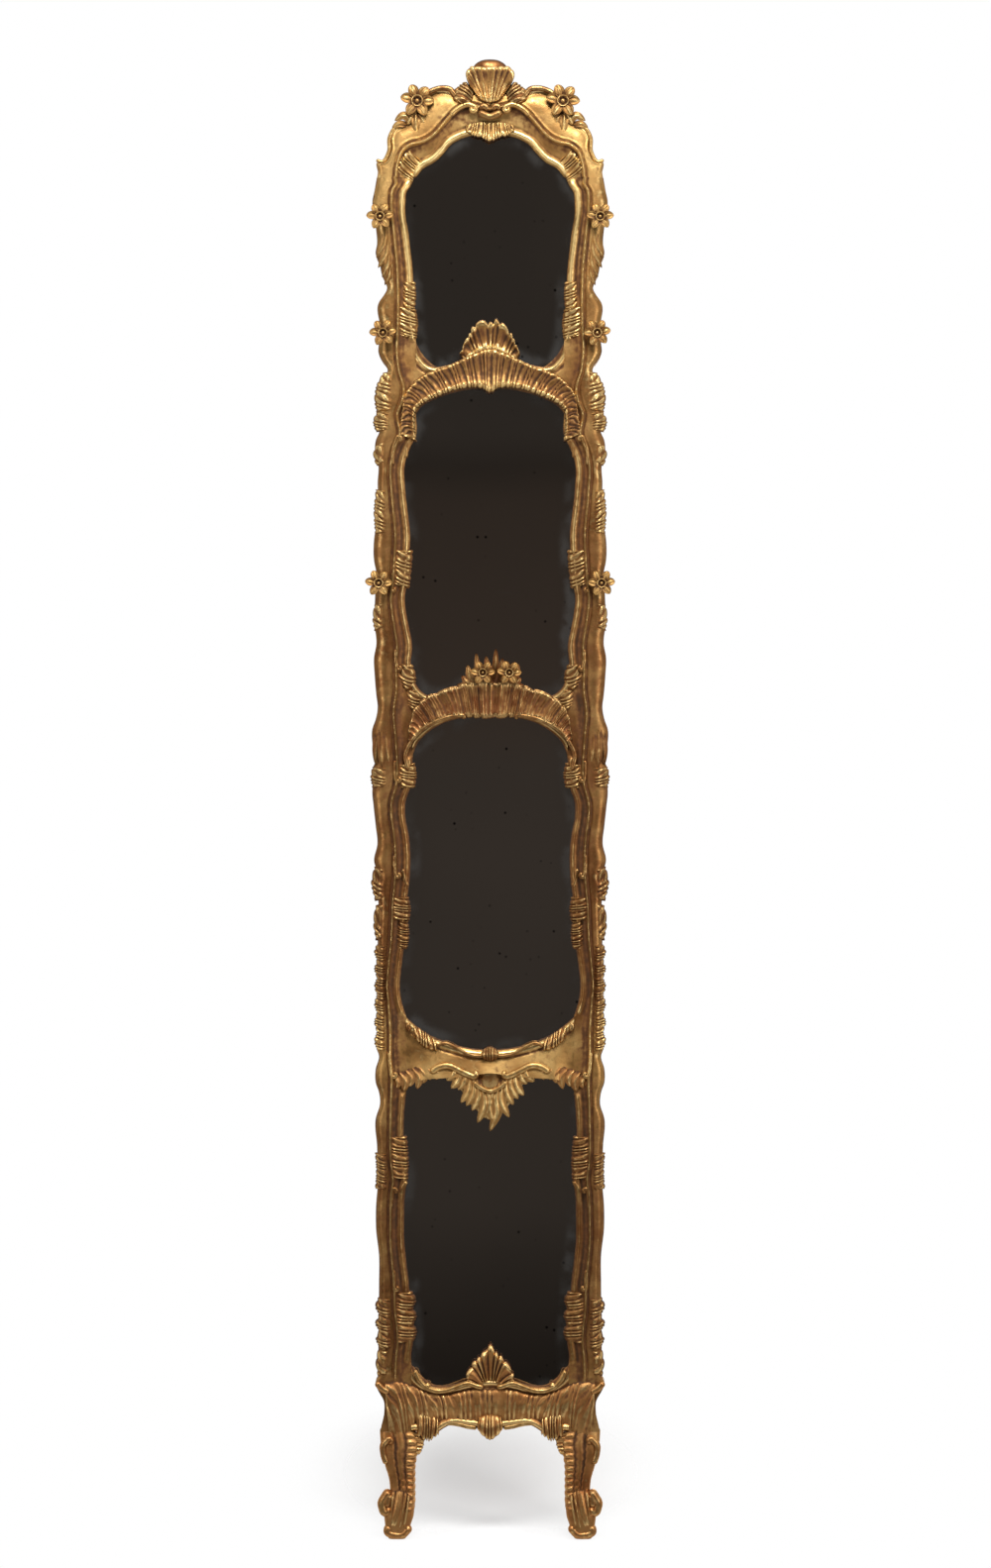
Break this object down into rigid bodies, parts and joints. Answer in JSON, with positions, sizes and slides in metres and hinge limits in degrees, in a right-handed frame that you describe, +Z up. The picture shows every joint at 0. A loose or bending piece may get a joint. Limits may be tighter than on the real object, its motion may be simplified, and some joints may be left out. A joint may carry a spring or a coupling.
{
  "type": "hall mirror",
  "caption": "Tall narrow gilded pier mirror with stacked plates in a carved serpentine frame, a shell crest, ribbed cross rails, an apron and short scrolled legs.",
  "frame": {"origin": "on the floor, in the middle of the width and of the depth", "axes": "+Z up along the frame, +X to the right as seen from the front, +Y back towards the wall"},
  "size_m": [0.3722, 0.062, 2.238],
  "materials": {
    "gilt_wood": "worn water gilding",
    "mirror_glass": "aged silvering",
    "pine": "raw, darkened",
    "iron": "dark forged"
  },
  "bodies": {
    "frame": {"apron_drop": "gilt_wood", "apron_palmette": "gilt_wood", "apron_rail": "gilt_wood", "backboard_1": "pine", "backboard_2": "pine", "backboard_3": "pine", "backboard_4": "pine", "backboard_brads": "iron", "centre_flower_left": "gilt_wood", "centre_flower_right": "gilt_wood", "crest_flower_left": "gilt_wood", "crest_flower_right": "gilt_wood", "crest_rail": "gilt_wood", "crest_shell": "gilt_wood", "drop_shell": "gilt_wood", "hanger_screws": "iron", "hanger_straps": "iron", "left_leg": "gilt_wood", "left_stile": "gilt_wood", "lower_flower_left": "gilt_wood", "lower_flower_right": "gilt_wood", "middle_flower_left": "gilt_wood", "middle_flower_right": "gilt_wood", "mirror_plate_1": "mirror_glass", "mirror_plate_2": "mirror_glass", "mirror_plate_3": "mirror_glass", "mirror_plate_4": "mirror_glass", "rail_1": "gilt_wood", "rail_1_spray": "gilt_wood", "rail_2": "gilt_wood", "rail_2_spray": "gilt_wood", "rail_3": "gilt_wood", "rail_3_pendant": "gilt_wood", "right_leg": "gilt_wood", "right_stile": "gilt_wood", "tenon_pegs": "pine", "upper_flower_left": "gilt_wood", "upper_flower_right": "gilt_wood"},
    "left_ring": {"left_hanger_ring": "iron"},
    "right_ring": {"right_hanger_ring": "iron"}
  },
  "joints": [
    {"name": "left_ring_swing", "type": "hinge", "parent": "frame", "child": "left_ring", "pos_m": [-0.048, 0.02665, 2.164], "axis": [1, 0, 0], "range_deg": [0, 180]},
    {"name": "right_ring_swing", "type": "hinge", "parent": "frame", "child": "right_ring", "pos_m": [0.048, 0.02665, 2.164], "axis": [1, 0, 0], "range_deg": [0, 180]}
  ]
}
